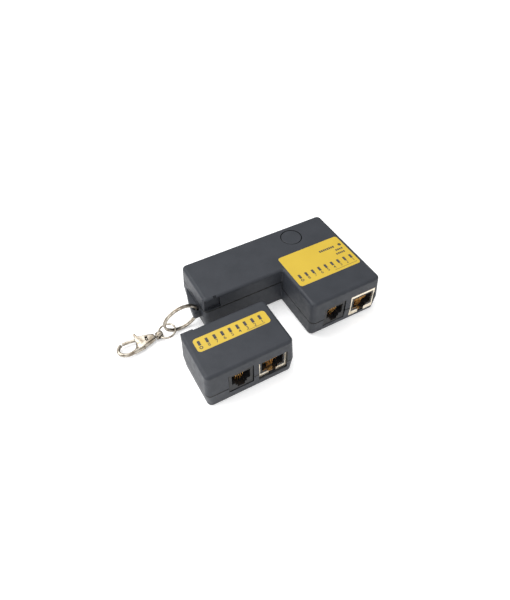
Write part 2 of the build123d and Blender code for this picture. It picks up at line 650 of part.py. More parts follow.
SWITCH_TOP = BOARD_TOP + 1.4
with BuildPart() as switch_body:
    with BuildSketch(Plane.XY.offset(BOARD_TOP + 0.02)):
        with Locations(BUTTON):
            Rectangle(6, 6)
    extrude(amount=SWITCH_TOP - BOARD_TOP)
    extrude(disc_plan(button_x, button_y, BOARD_TOP + 0.45, 1.8), amount=3, mode=Mode.SUBTRACT)
    with BuildSketch(Plane.XY.offset(BOARD_TOP + 0.02)):
        with Locations(BUTTON):
            with GridLocations(6.8, 4.4, 2, 2):
                Rectangle(1.4, 0.7)
    extrude(amount=0.25)
save(switch_body.part, "switch_body")
save(post(button_x, button_y, BOARD_TOP + 1.05, FLANGE_UNDER, 1.7), "switch_plunger")


def chip(x, y, under, length, width, pins):
    """A surface-mounted chip with gull-wing legs along both long sides."""
    with BuildPart() as package:
        with BuildSketch(Plane.XY.offset(under + 0.12)):
            with Locations((x, y)):
                Rectangle(length, width)
        extrude(amount=1.4)
        with BuildSketch(Plane.XY.offset(under)):
            with Locations((x, y)):
                with GridLocations(1.27, width + 1.1, pins, 2):
                    Rectangle(0.42, 1.3)
        extrude(amount=0.3)
    return package.part


def resistor_row(x, y, under, count, pitch):
    """Small chip resistors in a line."""
    with BuildPart() as row:
        with BuildSketch(Plane.XY.offset(under)):
            with Locations((x, y)):
                with GridLocations(pitch, 1, count, 1):
                    Rectangle(1.25, 2.0)
        extrude(amount=0.55)
    return row.part


save(chip(8.5, 9.5, BOARD_TOP + 0.02, 11.5, 4.0, 8), "main_chip")
save(resistor_row(MAIN_LAMP_MIDDLE, -16.5, BOARD_TOP + 0.02, LAMP_COUNT, LAMP_PITCH), "main_resistors")

# ---------------------------------------------------------------- remote unit

with BuildPart() as remote_body:
    loft([swollen_remote(*level) for level in zip(SWELL_HEIGHTS, SIDE_SWELL, FRONT_SWELL)], ruled=True)
    fillet(remote_body.faces().sort_by(Axis.Z)[-1].edges(), TOP_ROUND)
    fillet(remote_body.faces().sort_by(Axis.Z)[0].edges(), FOOT_ROUND)

REMOTE_SEAM = 9.9
REMOTE_SCREWS = [(REMOTE_LEFT + 5.2, REMOTE_FRONT + 4.7), (REMOTE_RIGHT - 5.2, REMOTE_BACK - 4.7)]
REMOTE_BOARD_TOP = REMOTE_BOARD_UNDER + BOARD
with BuildPart() as remote_hollow:
    extrude(remote_plan(FLOOR, WALL, HOLLOW_CORNER), amount=HEIGHT - FLOOR - ROOF)

with BuildPart() as remote_lip:
    extrude(remote_plan(REMOTE_SEAM - LIP_HEIGHT, WALL / 2, LIP_CORNER), amount=2 * LIP_HEIGHT + SEAM_GAP)
    add(remote_hollow.part, mode=Mode.SUBTRACT)

REBATE_TOP = REMOTE_SEAM + SEAM_GAP + LIP_HEIGHT + 0.1
with BuildPart() as remote_top_shell:
    add(remote_body.part)
    add(remote_hollow.part, mode=Mode.SUBTRACT)
    extrude(remote_plan(-1, -2, 1.0), amount=1 + REMOTE_SEAM + SEAM_GAP, mode=Mode.SUBTRACT)
    rebate = remote_plan(-1, WALL / 2 - LIP_PLAY, LIP_CORNER)
    extrude(rebate, amount=1 + REBATE_TOP, mode=Mode.SUBTRACT)
    for x, y in REMOTE_SCREWS:
        extrude(disc_plan(x, y, REMOTE_BOARD_TOP + 0.05, BOSS), amount=UNDER_ROOF - REMOTE_BOARD_TOP + 0.3)
        pilot = disc_plan(x, y, REMOTE_SEAM, PILOT)
        extrude(pilot, amount=UNDER_ROOF - REMOTE_SEAM - 0.2, mode=Mode.SUBTRACT)
    add(remote_sockets, mode=Mode.SUBTRACT)
    extrude(remote_label_plan, amount=1, mode=Mode.SUBTRACT)
    add(remote_slots, mode=Mode.SUBTRACT)
    # tab that stands in the seat in the main unit's arm
    tab_left, tab_right = REMOTE_LEFT + 0.3, REMOTE_LEFT + TAB_LENGTH
    tab = box_plan(tab_left, tab_right, REMOTE_BACK - 1.5, REMOTE_BACK + TAB_PROUD, TAB_BOTTOM, 0.45)
    extrude(tab, amount=TAB_TOP - TAB_BOTTOM)
save(remote_top_shell.part, "remote_top_shell")

with BuildPart() as remote_bottom_shell:
    add(remote_body.part)
    add(remote_hollow.part, mode=Mode.SUBTRACT)
    extrude(remote_plan(REMOTE_SEAM, -2, 1.0), amount=HEIGHT, mode=Mode.SUBTRACT)
    add(remote_lip.part)
    for x, y in REMOTE_SCREWS:
        extrude(disc_plan(x, y, 0.2, BOSS + 0.2), amount=REMOTE_BOARD_UNDER - 0.25)
        extrude(disc_plan(x, y, -1, CLEARANCE), amount=REMOTE_BOARD_UNDER + 1, mode=Mode.SUBTRACT)
        extrude(disc_plan(x, y, -1, HEAD_RECESS), amount=HEAD_TOP + 1, mode=Mode.SUBTRACT)
    add(remote_sockets, mode=Mode.SUBTRACT)
save(remote_bottom_shell.part, "remote_bottom_shell")

with BuildPart() as remote_pcb:
    edge = WALL + 0.4
    extrude(remote_plan(REMOTE_BOARD_UNDER, edge, 0.8), amount=BOARD)
    for x, y in REMOTE_SCREWS:
        extrude(disc_plan(x, y, REMOTE_BOARD_UNDER - 1, SCREW + 0.2), amount=4, mode=Mode.SUBTRACT)
save(remote_pcb.part, "remote_pcb")

save(net_shield(REMOTE_NET_X, remote_net_bottom, REMOTE_NET_FACE), "remote_rj45_shield")
save(net_insert(REMOTE_NET_X, remote_net_bottom, REMOTE_NET_FACE), "remote_rj45_insert")
wires = spring_wires(
    REMOTE_NET_X, remote_net_bottom + 13.3, REMOTE_NET_FACE + GUIDE_START, 8, 1.02, 0.4, 8.6, 5.4
)
save(wires, "remote_rj45_contacts")
save(phone_housing(REMOTE_PHONE_X, remote_phone_bottom, REMOTE_FRONT - PHONE_PROUD), "remote_rj11_housing")
wires = spring_wires(
    REMOTE_PHONE_X, remote_phone_bottom + 12.7, REMOTE_FRONT + PHONE_START, 4, 1.27, 0.45, 7.4, 4.6
)
save(wires, "remote_rj11_contacts")
save(lamp_strip(REMOTE_LAMP_MIDDLE, REMOTE_LAMP_Y, REMOTE_BOARD_TOP), "remote_leds")
with BuildPart() as remote_label:
    extrude(remote_label_plan, amount=LABEL_THICK)
    add(remote_slots, mode=Mode.SUBTRACT)
save(remote_label.part, "remote_label")
row = resistor_row(REMOTE_LAMP_MIDDLE, REMOTE_FRONT + 15.4, REMOTE_BOARD_TOP + 0.02, 8, LAMP_PITCH)
save(row, "remote_resistors")
with BuildPart() as remote_screws:
    for x, y in REMOTE_SCREWS:
        add(pan_screw(x, y, HEAD_TOP - 0.02, SHANK))
save(remote_screws.part, "remote_screws")

# ---------------------------------------------------------------- key chain

turn = math.radians(RING_TURN)
lean = math.radians(RING_LEAN)
ring_across = (math.cos(turn), math.sin(turn), 0)
ring_up = (math.sin(turn) * math.sin(lean), -math.cos(turn) * math.sin(lean), math.cos(lean))
ring_normal = Vector(*ring_across).cross(Vector(*ring_up))
ring_plane = Plane(origin=RING_CENTRE, x_dir=ring_across, z_dir=ring_normal)
with BuildPart() as split_ring:
    with BuildSketch(ring_plane.offset(-RING_SECTION[1] / 2)):
        Circle(RING_RADIUS + RING_SECTION[0] / 2)
        Circle(RING_RADIUS - RING_SECTION[0] / 2, mode=Mode.SUBTRACT)
    extrude(amount=RING_SECTION[1])
    fillet(split_ring.edges(), 0.3)
save(split_ring.part, "split_ring")

link_rise = LINK_END_Z - CHAIN_Z
link_run = math.sqrt(4 * LINK_RADIUS**2 - link_rise**2)
link_across = (link_run, 0, link_rise)
link_centre = (EYE_X + link_run / 2, CHAIN_Y, CHAIN_Z + link_rise / 2)
link_plane = Plane(origin=link_centre, x_dir=link_across, z_dir=(-link_rise, 0, link_run))
with BuildPart() as link_ring:
    with BuildSketch(Plane(origin=link_centre, x_dir=link_across, z_dir=(0, -1, 0))):
        with Locations((LINK_RADIUS, 0)):
            Circle(LINK_WIRE / 2)
    revolve(axis=Axis(link_centre, link_plane.z_dir))
save(link_ring.part, "link_ring")

with BuildPart() as swivel_eye:
    with BuildSketch(Plane.YZ.offset(EYE_X - EYE_HALF)):
        with Locations((CHAIN_Y, CHAIN_Z)):
            Circle(EYE_RADIUS)
    extrude(amount=2 * EYE_HALF)
    fillet(swivel_eye.edges(), 0.5)
    with BuildSketch(Plane.XZ.offset(-CHAIN_Y - 4)):
        with Locations((EYE_X, CHAIN_Z)):
            Circle(1.15)
    extrude(amount=8, mode=Mode.SUBTRACT)
    with BuildSketch(Plane.YZ.offset(HOOK_TAIL - 4.1)):
        with Locations((CHAIN_Y, CHAIN_Z)):
            Circle(NECK)
    extrude(amount=EYE_X - EYE_HALF + 0.3 - HOOK_TAIL + 4.1)
    with BuildSketch(Plane.YZ.offset(HOOK_TAIL - 4.9)):
        with Locations((CHAIN_Y, CHAIN_Z)):
            Circle(1.35)
    extrude(amount=0.9)
save(swivel_eye.part, "swivel_eye")

hook_x, hook_y = LOOP_CENTRE
pivot_x, pivot_y = GATE_PIVOT
SLOT_HALF = GATE_HALF + 0.3
WINDOW = (HOOK_TAIL - 5.2, HOOK_TAIL - 3.8)
with BuildPart() as hook_body:
    with BuildSketch(Plane.XY.offset(CHAIN_Z - HOOK_HALF)) as outline:
        with Locations(LOOP_CENTRE):
            Ellipse(LOOP_OUTER[0], LOOP_OUTER[1])
        with BuildLine():
            Polyline(
                (HOOK_TAIL, CHAIN_Y + 2.1), (HOOK_TAIL - 5.5, CHAIN_Y + 3.2), (pivot_x - 1.0, pivot_y + 2.2),
                (hook_x + 1.0, hook_y + 4.8), (hook_x + 1.0, hook_y - 5.0), (pivot_x, hook_y - 3.9),
                (HOOK_TAIL - 3.5, CHAIN_Y - 3.0), (HOOK_TAIL, CHAIN_Y - 2.1), close=True,
            )
        make_face()
        with Locations(LOOP_CENTRE):
            Ellipse(LOOP_INNER[0], LOOP_INNER[1], mode=Mode.SUBTRACT)
        # mouth that the gate closes
        with BuildLine():
            Polyline(
                (hook_x - 2.6, hook_y + 1.5), (hook_x - 2.6, hook_y + 7), (pivot_x - 2.6, hook_y + 7),
                (pivot_x - 2.6, hook_y + 1.0), close=True,
            )
        make_face(mode=Mode.SUBTRACT)
    extrude(amount=2 * HOOK_HALF)
    # fork for the gate's root, and the pivot pin's hole through both cheeks
    fork = box_plan(pivot_x - 4, pivot_x + 2.5, pivot_y - 2.5, pivot_y + 4, CHAIN_Z - SLOT_HALF)
    extrude(fork, amount=2 * SLOT_HALF, mode=Mode.SUBTRACT)
    extrude(disc_plan(pivot_x, pivot_y, 0, 0.62), amount=5, mode=Mode.SUBTRACT)
    # socket and window for the swivel's neck and its riveted end
    with BuildSketch(Plane.YZ.offset(HOOK_TAIL - 5)):
        with Locations((CHAIN_Y, CHAIN_Z)):
            Circle(NECK + 0.06)
    extrude(amount=6, mode=Mode.SUBTRACT)
    window = box_plan(WINDOW[0], WINDOW[1], CHAIN_Y - 1.7, CHAIN_Y + 1.7, 0)
    extrude(window, amount=5, mode=Mode.SUBTRACT)
save(hook_body.part, "hook_body")

with BuildPart() as hook_gate:
    with BuildSketch(Plane.XY.offset(CHAIN_Z - GATE_HALF)) as gate_outline:
        with Locations(GATE_PIVOT):
            Circle(1.9)
        with BuildLine():
            Polyline(
                (pivot_x - 0.6, pivot_y + 1.4), (pivot_x - 1.9, pivot_y + 4.9),
                (pivot_x - 0.7, pivot_y + 5.2), (pivot_x + 1.2, pivot_y + 1.2), close=True,
            )
        make_face()
        with BuildLine():
            Polyline(
                (pivot_x, pivot_y + 1.5), (hook_x + 2.2, hook_y + 4.6),
                (hook_x - 2.3, hook_y + 4.75), (hook_x - 2.3, hook_y + 3.1),
                (hook_x + 1.8, hook_y + 2.9), (pivot_x, pivot_y - 1.5), close=True,
            )
        make_face()
    extrude(amount=2 * GATE_HALF)
    extrude(disc_plan(pivot_x, pivot_y, 0, 0.64), amount=5, mode=Mode.SUBTRACT)
    extrude(disc_plan(pivot_x, pivot_y, CHAIN_Z - 0.6, 1.35), amount=1.2, mode=Mode.SUBTRACT)
save(hook_gate.part, "hook_gate")

with BuildPart() as gate_pin:
    extrude(disc_plan(pivot_x, pivot_y, CHAIN_Z - HOOK_HALF - 0.15, 0.6), amount=2 * HOOK_HALF + 0.3)
save(gate_pin.part, "gate_pin")

SPRING_TURNS = 3
SPRING_WIRE = 0.3
with BuildPart() as gate_spring:
    for number in range(SPRING_TURNS):
        coil_z = CHAIN_Z + (number - (SPRING_TURNS - 1) / 2) * (SPRING_WIRE + 0.05)
        with BuildSketch(Plane.XZ.offset(-pivot_y)):
            with Locations((pivot_x + 0.95, coil_z)):
                Circle(SPRING_WIRE / 2)
        revolve(axis=Axis((pivot_x, pivot_y, 0), (0, 0, 1)))
save(gate_spring.part, "gate_spring")
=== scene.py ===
import math

import bmesh
import bpy
from mathutils import Euler, Matrix, Vector


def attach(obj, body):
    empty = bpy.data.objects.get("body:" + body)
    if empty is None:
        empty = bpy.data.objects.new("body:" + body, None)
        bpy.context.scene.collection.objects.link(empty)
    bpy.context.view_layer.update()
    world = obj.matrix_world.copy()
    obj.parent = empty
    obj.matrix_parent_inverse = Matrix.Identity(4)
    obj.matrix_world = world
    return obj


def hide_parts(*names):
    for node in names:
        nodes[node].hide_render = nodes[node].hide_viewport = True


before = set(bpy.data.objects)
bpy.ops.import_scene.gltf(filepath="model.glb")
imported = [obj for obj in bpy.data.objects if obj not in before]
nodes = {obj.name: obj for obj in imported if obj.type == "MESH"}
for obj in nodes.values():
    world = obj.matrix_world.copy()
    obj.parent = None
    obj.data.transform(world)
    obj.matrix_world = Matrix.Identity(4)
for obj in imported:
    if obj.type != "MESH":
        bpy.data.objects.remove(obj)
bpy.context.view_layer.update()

# Looks of the pocket cable tester, built around its CAD frame. The part's lengths are written in
# millimetres in its own frame and are turned into metres as each mesh is made. The floor, the lights
# and the camera are in metres.

MM = 0.001

# Places that the CAD gives: X runs along the units, Y from front to back, Z up
ARM_LEFT = -69.25
ARM_RIGHT = -21.9
FRONT = -30.05
ARM_DEPTH = 30.2
ARM_FRONT = -FRONT - ARM_DEPTH
TOP = 25.0
REMOTE_LEFT = ARM_LEFT - 19.8
REMOTE_FRONT = FRONT - 13.6
# heights of the seams' middles
BLOCK_SEAM, ARM_SEAM = 10.3, 15.65
# the line that the chain lies along
CHAIN_Y = FRONT + 38.9
CHAIN_Z = 2.25
LAMP_COUNT = 9
LAMP_PITCH = 4.21
# middles of the two rows of lamps
MAIN_LAMPS = (0.5, FRONT + 20.9)
REMOTE_LAMPS = (REMOTE_LEFT + 22.7, REMOTE_FRONT + 20.2)

# The floor stands this far below the parts, in metres, so that no faces share a plane
FLOOR_DROP = 0.00002


# ---------------------------------------------------------------- materials


class Nodes:
    """A material's node tree, with short calls for the nodes used here."""

    def __init__(self, name):
        self.material = bpy.data.materials.new(name)
        self.material.use_nodes = True
        self.tree = self.material.node_tree
        self.tree.nodes.clear()
        self.output = self.tree.nodes.new("ShaderNodeOutputMaterial")
        self.shader = self.tree.nodes.new("ShaderNodeBsdfPrincipled")
        self.link(self.shader.outputs["BSDF"], self.output.inputs["Surface"])
        self.place = self.tree.nodes.new("ShaderNodeTexCoord").outputs["Object"]

    def link(self, a, b):
        self.tree.links.new(a, b)

    def constant(self, **values):
        for name, value in values.items():
            self.shader.inputs[name.replace("_", " ")].default_value = value

    def stretched(self, scale):
        """The texture place, drawn out along the axes."""
        node = self.tree.nodes.new("ShaderNodeMapping")
        node.inputs["Scale"].default_value = scale
        self.link(self.place, node.inputs["Vector"])
        return node.outputs["Vector"]

    def noise(self, size_mm, detail=2.0, where=None):
        """Cloudy noise whose features are about size_mm across."""
        node = self.tree.nodes.new("ShaderNodeTexNoise")
        node.inputs["Scale"].default_value = 1 / (size_mm * MM)
        node.inputs["Detail"].default_value = detail
        self.link(where or self.place, node.inputs["Vector"])
        return node.outputs["Fac"]

    def cells(self, size_mm):
        """Distance from the middles of cells about size_mm across."""
        node = self.tree.nodes.new("ShaderNodeTexVoronoi")
        node.inputs["Scale"].default_value = 1 / (size_mm * MM)
        self.link(self.place, node.inputs["Vector"])
        return node.outputs["Distance"]

    def ramp(self, factor, stops):
        """A colour that goes from the first stop to the second as factor does."""
        node = self.tree.nodes.new("ShaderNodeValToRGB")
        for element, (position, colour) in zip(node.color_ramp.elements, stops):
            element.position = position
            element.color = (*colour, 1)
        self.link(factor, node.inputs["Fac"])
        return node.outputs["Color"]

    def between(self, factor, low, high, from_low=0.3, from_high=0.7):
        """A number that goes from low to high as factor does."""
        node = self.tree.nodes.new("ShaderNodeMapRange")
        node.inputs["From Min"].default_value = from_low
        node.inputs["From Max"].default_value = from_high
        node.inputs["To Min"].default_value = low
        node.inputs["To Max"].default_value = high
        self.link(factor, node.inputs["Value"])
        return node.outputs["Result"]

    def mix(self, factor, a, b):
        """Colour a where factor is 0, colour b where it is 1; each is a tuple or a socket."""
        node = self.tree.nodes.new("ShaderNodeMix")
        node.data_type = "RGBA"
        self.link(factor, node.inputs["Factor"])
        for value, socket in ((a, node.inputs["A"]), (b, node.inputs["B"])):
            if isinstance(value, tuple):
                socket.default_value = (*value, 1)
            else:
                self.link(value, socket)
        return node.outputs["Result"]

    def rounded_normal(self, radius_mm):
        """The surface's normal as if its edges were rounded."""
        bevel = self.tree.nodes.new("ShaderNodeBevel")
        bevel.samples = 4
        bevel.inputs["Radius"].default_value = radius_mm * MM
        return bevel.outputs["Normal"]

    def edge(self, radius_mm, sharpness=0.12):
        """1 on convex and concave edges, 0 on flats, from a rounded normal."""
        softened = self.rounded_normal(radius_mm)
        geometry = self.tree.nodes.new("ShaderNodeNewGeometry")
        dot = self.tree.nodes.new("ShaderNodeVectorMath")
        dot.operation = "DOT_PRODUCT"
        self.link(softened, dot.inputs[0])
        self.link(geometry.outputs["Normal"], dot.inputs[1])
        return self.between(dot.outputs["Value"], 1.0, 0.0, 1 - sharpness, 1.0)

    def shut_in(self, reach_mm):
        """0 deep in a crevice, 1 out in the open."""
        node = self.tree.nodes.new("ShaderNodeAmbientOcclusion")
        node.samples = 6
        node.inputs["Distance"].default_value = reach_mm * MM
        return self.between(node.outputs["AO"], 0.0, 1.0, 0.25, 0.8)

    def sums(self, operation, a, b):
        """Arithmetic on two sockets or numbers."""
        node = self.tree.nodes.new("ShaderNodeMath")
        node.operation = operation
        for value, socket in ((a, node.inputs[0]), (b, node.inputs[1])):
            if isinstance(value, float):
                socket.default_value = value
            else:
                self.link(value, socket)
        return node.outputs["Value"]

    def seam_shade(self):
        """Nearly 1 along the shells' seams, where a line of painted shade runs, 0 elsewhere; the arm's
        seam is higher.
        """
        split = self.tree.nodes.new("ShaderNodeSeparateXYZ")
        self.link(self.place, split.inputs[0])
        along, across, height = (split.outputs[axis] for axis in ("X", "Y", "Z"))
        past_block = self.sums("LESS_THAN", along, ARM_RIGHT * MM)
        past_notch = self.sums("GREATER_THAN", across, (ARM_FRONT - 1.0) * MM)
        on_arm = self.sums("MULTIPLY", past_block, past_notch)
        raised = self.sums("MULTIPLY", on_arm, (ARM_SEAM - BLOCK_SEAM) * MM)
        seam = self.sums("ADD", raised, BLOCK_SEAM * MM)
        off_seam = self.sums("ABSOLUTE", self.sums("SUBTRACT", height, seam), 0.0)
        return self.between(off_seam, 0.97, 0.0, 0.32 * MM, 0.6 * MM)

    def bump(self, height, strength, depth_mm, rounded_mm=0.0):
        """Relief on the surface, over normals rounded by rounded_mm at sharp edges."""
        node = self.tree.nodes.new("ShaderNodeBump")
        node.inputs["Strength"].default_value = strength
        node.inputs["Distance"].default_value = depth_mm * MM
        self.link(height, node.inputs["Height"])
        if rounded_mm:
            self.link(self.rounded_normal(rounded_mm), node.inputs["Normal"])
        self.link(node.outputs["Normal"], self.shader.inputs["Normal"])


# the near-black that painted shade darkens crevices and seams towards
PAINTED_SHADE = (0.002, 0.002, 0.002)


def moulded(name, dark, light, rough=(0.42, 0.55), grain_mm=0.22, grain=0.16, edge_wear_and_highlight=None,
            crevice_mm=0.0, seams=False):
    """Moulded plastic: fine grain, faint clouding, paler edges that are partly wear and partly painted
    highlight, painted shade in crevices and along seams.
    """
    m = Nodes(name)
    clouds = m.noise(9.0, 3.0)
    colour = m.ramp(clouds, [(0.3, dark), (0.7, light)])
    speck = m.noise(0.5, 2.0)
    colour = m.mix(m.between(speck, 0.0, 0.35, 0.45, 0.75), colour, tuple(c * 1.35 for c in light))
    # paler convex and concave edges: partly wear, partly a painted highlight
    if edge_wear_and_highlight:
        colour = m.mix(m.edge(0.25), colour, edge_wear_and_highlight)
    # painted shade: ambient occlusion darkens the crevices
    if crevice_mm:
        colour = m.mix(m.shut_in(crevice_mm), PAINTED_SHADE, colour)
    # painted shade: a dark line along the seams' height
    if seams:
        colour = m.mix(m.seam_shade(), colour, PAINTED_SHADE)
    m.link(colour, m.shader.inputs["Base Color"])
    m.link(m.between(m.noise(3.0, 4.0), rough[0], rough[1]), m.shader.inputs["Roughness"])
    m.bump(m.noise(grain_mm, 3.0), grain, 0.03, 0.12)
    m.constant(Specular_IOR_Level=0.3)
    return m.material


def plated(name, base, tarnish, rough, dents=0.25, rounded=0.08, crevice_shade=None):
    """Plated metal with soft dents from tumbling, fine scratches, tarnish and painted shade in crevices.
    """
    m = Nodes(name)
    colour = m.ramp(m.noise(2.2, 4.0), [(0.35, tarnish), (0.6, base)])
    # painted shade: ambient occlusion darkens the crevices
    if crevice_shade:
        colour = m.mix(m.shut_in(2.0), crevice_shade, colour)
    m.link(colour, m.shader.inputs["Base Color"])
    scratch = m.noise(0.35, 6.0, m.stretched((1, 8, 3)))
    m.link(m.between(scratch, rough[0], rough[1]), m.shader.inputs["Roughness"])
    m.bump(m.noise(0.8, 3.0), dents, 0.05, rounded)
    m.constant(Metallic=1.0)
    return m.material


GREYS = ((0.021, 0.024, 0.030), (0.027, 0.030, 0.037))
shell = moulded("shell", *GREYS, edge_wear_and_highlight=(0.06, 0.065, 0.075), crevice_mm=1.2, seams=True)
cap = moulded("button_cap", *GREYS, edge_wear_and_highlight=(0.055, 0.06, 0.065), crevice_mm=1.2)
black = moulded("black_moulding", (0.010, 0.010, 0.011), (0.015, 0.015, 0.016), (0.35, 0.5), grain=0.08)
foam = moulded("foam", (0.06, 0.06, 0.062), (0.09, 0.09, 0.092), (0.8, 0.95), grain_mm=0.5, grain=0.8)
vinyl = moulded("vinyl", (0.012, 0.012, 0.013), (0.02, 0.02, 0.021), (0.3, 0.4), grain=0.05)
# the nickel's crevices get painted shade
nickel = plated("nickel", (0.41, 0.375, 0.32), (0.20, 0.165, 0.125), (0.18, 0.36),
                crevice_shade=(0.03, 0.025, 0.02))
shield_metal = plated("shield_plate", (0.86, 0.79, 0.66), (0.72, 0.62, 0.47), (0.22, 0.4), dents=0.1)
gilt = plated("gilt_wire", (1.0, 0.6, 0.2), (0.9, 0.47, 0.13), (0.3, 0.5), dents=0.1, rounded=0.03)
zinc = plated("zinc_screw", (0.62, 0.62, 0.6), (0.42, 0.41, 0.38), (0.3, 0.5), dents=0.15)


def label_film():
    """Printed polyester film: deep yellow under a satin overlay."""
    m = Nodes("label_film")
    colour = m.ramp(m.noise(14.0, 2.0), [(0.3, (0.50, 0.345, 0.022)), (0.7, (0.54, 0.375, 0.027))])
    dots = m.between(m.cells(0.12), 0.0, 0.22, 0.2, 0.6)
    colour = m.mix(dots, colour, (0.46, 0.31, 0.017))
    colour = m.mix(m.edge(0.1), colour, (0.56, 0.46, 0.18))
    m.link(colour, m.shader.inputs["Base Color"])
    m.link(m.between(m.noise(1.6, 4.0), 0.34, 0.46), m.shader.inputs["Roughness"])
    m.bump(m.noise(0.18, 2.0), 0.08, 0.02, 0.05)
    return m.material


def ink():
    """Screen-printed ink, slightly uneven."""
    m = Nodes("label_ink")
    colour = m.ramp(m.noise(0.3, 3.0), [(0.35, (0.03, 0.028, 0.025)), (0.75, (0.055, 0.048, 0.032))])
    m.link(colour, m.shader.inputs["Base Color"])
    m.link(m.between(m.noise(0.6, 2.0), 0.4, 0.6), m.shader.inputs["Roughness"])
    return m.material


def lens():
    """Smoked lamp lens, unlit."""
    m = Nodes("lamp_lens")
    colour = m.ramp(m.noise(0.8, 2.0), [(0.3, (0.03, 0.028, 0.032)), (0.7, (0.055, 0.05, 0.055))])
    m.link(colour, m.shader.inputs["Base Color"])
    m.link(m.between(m.noise(0.5, 2.0), 0.18, 0.3), m.shader.inputs["Roughness"])
    m.bump(m.noise(0.3, 2.0), 0.1, 0.02, 0.05)
    m.constant(Coat_Weight=0.3)
    return m.material


def board():
    """Green solder mask with faint copper tracks under it."""
    m = Nodes("solder_mask")
    tracks = m.tree.nodes.new("ShaderNodeTexBrick")
    tracks.inputs["Scale"].default_value = 1 / (7 * MM)
    tracks.inputs["Mortar Size"].default_value = 0.06
    m.link(m.place, tracks.inputs["Vector"])
    base = m.ramp(m.noise(2.5, 3.0), [(0.3, (0.012, 0.10, 0.045)), (0.7, (0.02, 0.14, 0.06))])
    colour = m.mix(tracks.outputs["Fac"], base, (0.05, 0.22, 0.09))
    m.link(colour, m.shader.inputs["Base Color"])
    m.link(m.between(m.noise(1.0, 3.0), 0.25, 0.4), m.shader.inputs["Roughness"])
    m.bump(tracks.outputs["Fac"], 0.3, 0.03, 0.05)
    return m.material


def battery_jacket():
    """Printed steel jacket: dark body with one plain band, no lettering."""
    m = Nodes("battery_jacket")
    split = m.tree.nodes.new("ShaderNodeSeparateXYZ")
    m.link(m.place, split.inputs["Vector"])
    band = m.between(split.outputs["X"], 0.0, 1.0, -29.5 * MM, -29.1 * MM)
    dark = m.ramp(m.noise(5.0, 3.0), [(0.3, (0.02, 0.022, 0.026)), (0.7, (0.03, 0.033, 0.038))])
    copper = m.ramp(m.noise(1.2, 5.0), [(0.3, (0.50, 0.24, 0.10)), (0.7, (0.62, 0.32, 0.14))])
    m.link(m.mix(band, dark, copper), m.shader.inputs["Base Color"])
    m.link(m.between(m.noise(1.5, 4.0), 0.2, 0.32), m.shader.inputs["Roughness"])
    m.bump(m.noise(2.0, 2.0), 0.1, 0.05, 0.1)
    m.constant(Metallic=0.6)
    return m.material


film = label_film()
print_ink = ink()
smoked = lens()
mask = board()
jacket = battery_jacket()

FINISHES = {
    shell: [
        "main_top_shell", "main_bottom_shell", "battery_cover", "remote_top_shell", "remote_bottom_shell",
    ],
    cap: ["power_button"],
    black: [
        "main_rj45_insert", "remote_rj45_insert", "main_rj11_housing", "remote_rj11_housing",
        "switch_body", "main_chip", "main_resistors", "remote_resistors",
    ],
    vinyl: ["battery_snap", "battery_leads", "switch_plunger"],
    foam: ["battery_pad"],
    shield_metal: ["main_rj45_shield", "remote_rj45_shield"],
    gilt: ["main_rj45_contacts", "remote_rj45_contacts", "main_rj11_contacts", "remote_rj11_contacts"],
    nickel: [
        "swivel_eye", "gate_pin", "gate_spring", "battery_terminals", "split_ring", "link_ring",
        "hook_body", "hook_gate",
    ],
    zinc: ["main_screws", "remote_screws", "cover_screw"],
    smoked: ["main_leds", "remote_leds", "power_led"],
    film: ["main_label", "remote_label"],
    mask: ["main_pcb", "remote_pcb"],
    jacket: ["battery_9v"],
}
for material, names in FINISHES.items():
    for name in names:
        slots = nodes[name].material_slots
        if len(slots) == 0:
            nodes[name].data.materials.append(material)
        for slot in slots:
            slot.material = material


# ---------------------------------------------------------------- mesh helpers


def keep(name, mesh, material, body, stands_for=()):
    """Puts a finished mesh in the scene as a piece of the object."""
    piece = bpy.data.objects.new(name, mesh)
    bpy.context.scene.collection.objects.link(piece)
    mesh.materials.clear()
    mesh.materials.append(material)
    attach(piece, body)
    if stands_for:
        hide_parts(*stands_for)


def from_bmesh(name, shape, smooth=True):
    """The finished mesh, its normals facing out."""
    mesh = bpy.data.meshes.new(name)
    bmesh.ops.recalc_face_normals(shape, faces=shape.faces)
    shape.to_mesh(mesh)
    shape.free()
    for polygon in mesh.polygons:
        polygon.use_smooth = smooth
    return mesh


def full_turn(steps):
    """Angles of points spread evenly round a circle."""
    return [2 * math.pi * k / steps for k in range(steps)]


def tube(rings):
    """Skins a list of rings of points and caps both ends."""
    shape = bmesh.new()
    made = [[shape.verts.new(Vector(p) * MM) for p in ring] for ring in rings]
    count = len(made[0])
    for a, b in zip(made, made[1:]):
        for i in range(count):
            j = (i + 1) % count
            shape.faces.new((a[i], a[j], b[j], b[i]))
    shape.faces.new(made[0])
    shape.faces.new(list(reversed(made[-1])))
    return shape


def rounded_section(width, height, radius, steps=4):
    """Points of a rounded rectangle about the origin."""
    points = []
    for corner in range(4):
        sx = 1 if corner in (0, 3) else -1
        sy = 1 if corner in (0, 1) else -1
        for step in range(steps + 1):
            angle = math.radians(90 * corner + 90 * step / steps)
            points.append((
                sx * (width / 2 - radius) + radius * math.cos(angle),
                sy * (height / 2 - radius) + radius * math.sin(angle),
            ))
    return points


